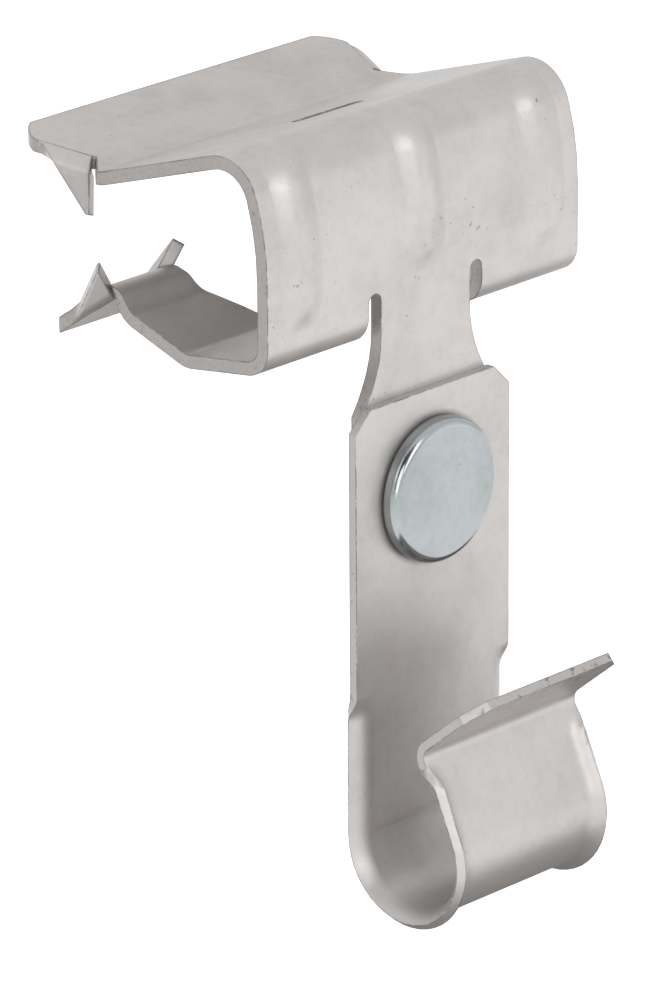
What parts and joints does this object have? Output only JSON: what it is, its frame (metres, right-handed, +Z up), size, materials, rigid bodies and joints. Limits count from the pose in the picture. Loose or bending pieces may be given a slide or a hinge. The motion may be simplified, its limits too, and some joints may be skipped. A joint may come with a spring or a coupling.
{
  "type": "beam flange cable clip",
  "caption": "Folded spring-steel clip that hammers on to the edge of a beam flange, with a J-shaped strip riveted to its leg to hold a cable or small conduit.",
  "frame": {"origin": "middle of the web's inner face, where the edge of the beam flange meets it, at half the flange's thickness", "axes": "+X along the edge of the flange, +Y the way the jaws open and the flange leaves, +Z up as the clip hangs"},
  "size_m": [0.0546, 0.0598, 0.0925],
  "materials": {
    "clip_sheet": "satin plated spring steel with fine darker specks",
    "strip_sheet": "satin plated spring steel, faintly mottled",
    "rivet": "smooth bluish zinc plate"
  },
  "bodies": {
    "root": {"flange_clip": "clip_sheet", "cable_clip": "strip_sheet", "rivet": "rivet"}
  },
  "joints": []
}
